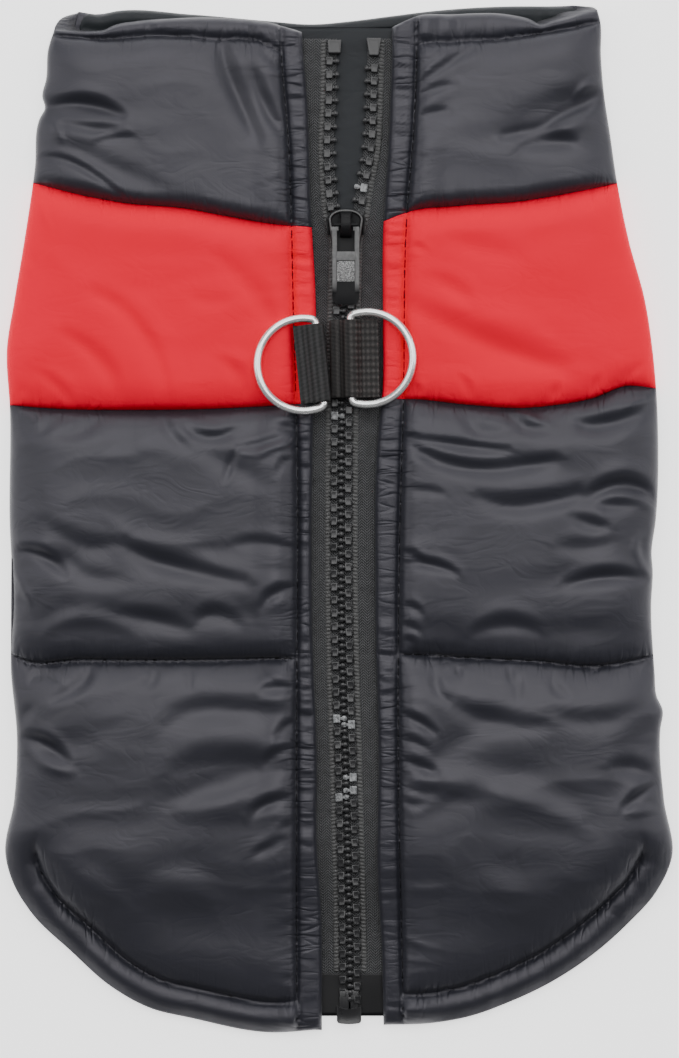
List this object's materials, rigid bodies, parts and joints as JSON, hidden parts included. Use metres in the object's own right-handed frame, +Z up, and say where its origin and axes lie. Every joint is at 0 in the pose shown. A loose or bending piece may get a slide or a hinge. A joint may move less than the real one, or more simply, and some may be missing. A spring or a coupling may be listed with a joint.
{
  "type": "dog winter coat",
  "caption": "Padded nylon coat for a small dog, laid flat, with a back zip, red yoke, quilted body and metal D-rings for a lead.",
  "frame": {"origin": "on the surface that the coat lies on, under the middle of its box", "axes": "+X to the coat's right as seen from above, +Y towards the collar, +Z up out of the zip side"},
  "size_m": [0.1732, 0.2682, 0.0132],
  "materials": {
    "black_nylon": "smooth padded nylon with a soft sheen",
    "red_nylon": "smooth padded nylon with a soft sheen",
    "lining": "matt lining cloth",
    "zip_tape": "woven polyester tape",
    "zip_plastic": "moulded plastic teeth",
    "slider_enamel": "black enamel",
    "webbing": "coarse woven webbing",
    "nickel": "bright nickel plate"
  },
  "bodies": {
    "coat": {"collar": "black_nylon", "collar_lining": "lining", "yoke_left": "red_nylon", "yoke_right": "red_nylon", "body_left": "black_nylon", "body_right": "black_nylon", "belly_panel": "black_nylon", "zip_tape_left": "zip_tape", "zip_tape_right": "zip_tape", "zip_teeth_left": "zip_plastic", "zip_teeth_right": "zip_plastic", "top_stop_left": "zip_plastic", "top_stop_right": "zip_plastic", "bottom_box": "zip_plastic", "zip_slider": "slider_enamel", "webbing_loop_left": "webbing", "webbing_loop_right": "webbing"},
    "pull": {"zip_pull": "slider_enamel"},
    "ring_left": {"d_ring_left": "nickel"},
    "ring_right": {"d_ring_right": "nickel"}
  },
  "joints": [
    {"name": "pull_hinge", "type": "hinge", "parent": "coat", "child": "pull", "pos_m": [0.0019, 0.0766, 0.009], "axis": [-1, 0, 0], "range_deg": [0, 165]},
    {"name": "ring_left_hinge", "type": "hinge", "parent": "coat", "child": "ring_left", "pos_m": [-0.0049, 0.0407, 0.0107], "axis": [-0.1011, 0.9949, 0], "range_deg": [0, 90]},
    {"name": "ring_right_hinge", "type": "hinge", "parent": "coat", "child": "ring_right", "pos_m": [0.0033, 0.0419, 0.0087], "axis": [0.0192, -0.9998, 0], "range_deg": [0, 90]}
  ]
}
